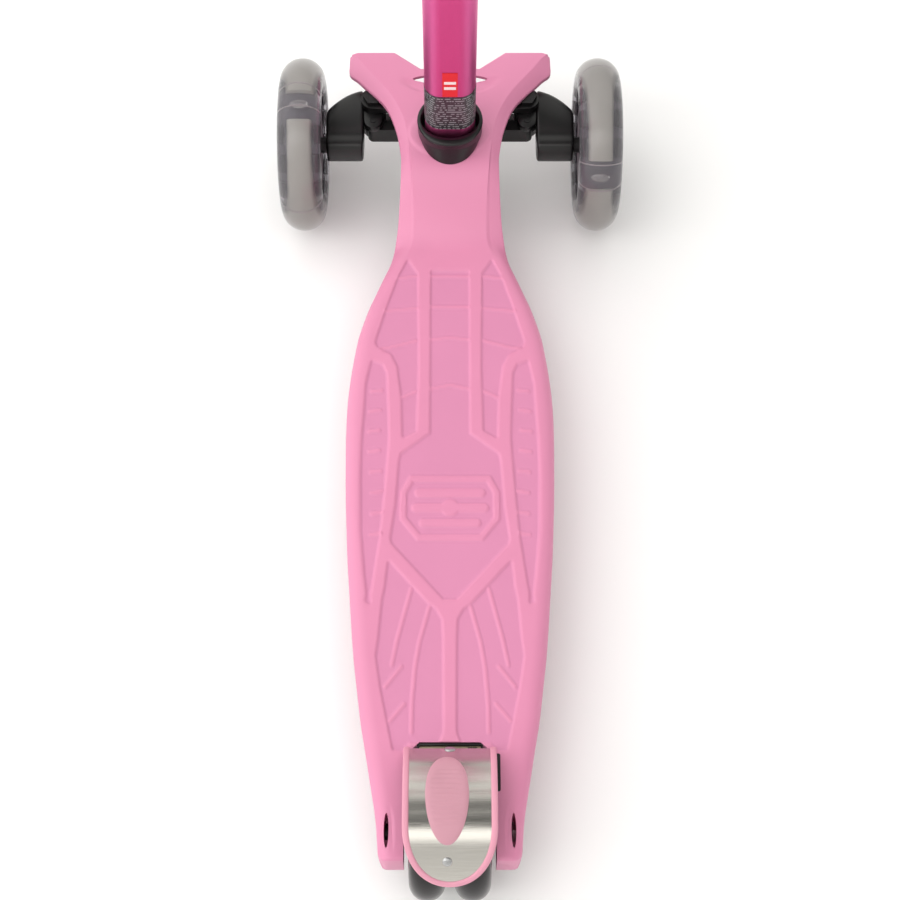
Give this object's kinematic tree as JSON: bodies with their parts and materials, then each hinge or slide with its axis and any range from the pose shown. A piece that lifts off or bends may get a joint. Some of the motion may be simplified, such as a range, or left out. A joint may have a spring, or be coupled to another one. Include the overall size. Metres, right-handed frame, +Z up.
{
  "type": "kick scooter",
  "caption": "Lean-to-steer child's kick scooter: waisted footplate, winged nose over two large front wheels, twin rear wheels under a curved foot brake, sloping oval stem with a T-bar.",
  "frame": {"origin": "on the floor at the middle of the bounding box", "axes": "+X the rider's right, +Y forward, +Z up"},
  "size_m": [0.29, 0.584, 0.687],
  "materials": {
    "deck_plastic": "satin fibre-filled moulded plastic",
    "black_plastic": "satin moulded nylon",
    "bolt_steel": "zinc-plated steel",
    "bronze": "sintered bronze",
    "elastomer": "soft urethane",
    "strip": "thin painted strip",
    "dark_cast": "cast, blackened",
    "anodised_tube": "satin magenta anodising",
    "label_film": "printed film",
    "bare_tube": "satin clear anodising",
    "grip_rubber": "moulded rubber",
    "core_plastic": "moulded nylon",
    "smoke_urethane": "cast smoke-tinted urethane",
    "dark_core": "moulded nylon",
    "dark_urethane": "cast dark urethane",
    "brushed_plate": "brushed stainless",
    "brake_rubber": "moulded soft rubber"
  },
  "bodies": {
    "deck": {"deck_board": "deck_plastic", "axle_beam": "black_plastic", "beam_bolts": "bolt_steel", "kingpin_bolts": "bolt_steel", "kingpin_nuts": "bolt_steel", "lean_bearings": "bronze", "lean_bumper_left": "elastomer", "lean_bumper_right": "elastomer", "rear_axle": "bolt_steel", "rear_axle_nut": "bolt_steel", "rear_spacers": "bolt_steel", "brake_hinge_pin": "bolt_steel", "brake_spring": "bolt_steel", "bay_bracket": "strip"},
    "steering_head": {"steering_socket": "black_plastic", "collar_ring": "black_plastic", "lean_shaft": "bolt_steel", "steering_lever": "dark_cast", "stem_plug": "dark_cast", "lower_tube": "anodised_tube", "stem_bolts": "bolt_steel", "stem_label": "label_film", "clamp_collar": "black_plastic", "clamp_pin": "bolt_steel", "clamp_nut": "bolt_steel"},
    "handlebar": {"upper_tube": "bare_tube", "bar_tee": "black_plastic", "handlebar_tube": "bare_tube", "grip_left": "grip_rubber", "grip_right": "grip_rubber", "bar_cap_left": "black_plastic", "bar_cap_right": "black_plastic"},
    "clamp_lever": {"clamp_lever": "black_plastic"},
    "track_rod": {"track_rod": "black_plastic"},
    "left_knuckle": {"knuckle_left": "black_plastic", "knuckle_pin_left": "bolt_steel", "axle_bolt_left": "bolt_steel", "axle_nut_left": "bolt_steel"},
    "right_knuckle": {"knuckle_right": "black_plastic", "knuckle_pin_right": "bolt_steel", "axle_bolt_right": "bolt_steel", "axle_nut_right": "bolt_steel"},
    "front_left_wheel": {"front_core_left": "core_plastic", "front_tyre_left": "smoke_urethane", "front_bearings_left": "bolt_steel"},
    "front_right_wheel": {"front_core_right": "core_plastic", "front_tyre_right": "smoke_urethane", "front_bearings_right": "bolt_steel"},
    "rear_left_wheel": {"rear_core_left": "dark_core", "rear_tyre_left": "dark_urethane", "rear_bearings_left": "bolt_steel"},
    "rear_right_wheel": {"rear_core_right": "dark_core", "rear_tyre_right": "dark_urethane", "rear_bearings_right": "bolt_steel"},
    "brake": {"brake_plate": "brushed_plate", "brake_rim_trim": "brake_rubber", "brake_pad": "brake_rubber", "brake_hinge": "brushed_plate", "brake_rivets": "bolt_steel"}
  },
  "joints": [
    {"name": "steer_lean", "type": "hinge", "parent": "deck", "child": "steering_head", "pos_m": [0, 0.23, 0.079], "axis": [0, 1, 0], "range_deg": [-8, 8], "stiffness_Nm_per_rad": 70, "deforming": ["lean_bumper_left", "lean_bumper_right"]},
    {"name": "track_rod_slide", "type": "slide", "parent": "deck", "child": "track_rod", "axis": [1, 0, 0], "range_m": [-0.004, 0.004]},
    {"name": "left_steer", "type": "hinge", "parent": "deck", "child": "left_knuckle", "pos_m": [-0.054, 0.258, 0.079], "axis": [0, 0, 1], "range_deg": [-16, 16]},
    {"name": "right_steer", "type": "hinge", "parent": "deck", "child": "right_knuckle", "pos_m": [0.054, 0.258, 0.079], "axis": [0, 0, 1], "range_deg": [-16, 16]},
    {"name": "front_left_spin", "type": "hinge", "parent": "left_knuckle", "child": "front_left_wheel", "pos_m": [-0.103, 0.232, 0.06], "axis": [1, 0, 0], "continuous": true},
    {"name": "front_right_spin", "type": "hinge", "parent": "right_knuckle", "child": "front_right_wheel", "pos_m": [0.103, 0.232, 0.06], "axis": [1, 0, 0], "continuous": true},
    {"name": "rear_left_spin", "type": "hinge", "parent": "deck", "child": "rear_left_wheel", "pos_m": [-0.0137, -0.252, 0.04], "axis": [1, 0, 0], "continuous": true},
    {"name": "rear_right_spin", "type": "hinge", "parent": "deck", "child": "rear_right_wheel", "pos_m": [0.0137, -0.252, 0.04], "axis": [1, 0, 0], "continuous": true},
    {"name": "brake_press", "type": "hinge", "parent": "deck", "child": "brake", "pos_m": [0, -0.207, 0.0555], "axis": [1, 0, 0], "range_deg": [0, 3.4], "stiffness_Nm_per_rad": 4, "springref_deg": -6.88},
    {"name": "bar_height", "type": "slide", "parent": "steering_head", "child": "handlebar", "axis": [0, -0.0872, 0.9962], "range_m": [0, 0.2]},
    {"name": "clamp_turn", "type": "hinge", "parent": "steering_head", "child": "clamp_lever", "pos_m": [0, 0.1686, 0.42664], "axis": [1, 0, 0], "range_deg": [-120, 0]}
  ],
  "couplings": [
    {"joint": "track_rod_slide", "follows": "steer_lean", "m_per_rad": -0.0213},
    {"joint": "left_steer", "follows": "steer_lean", "ratio": -1.5662},
    {"joint": "right_steer", "follows": "steer_lean", "ratio": -1.5662}
  ]
}
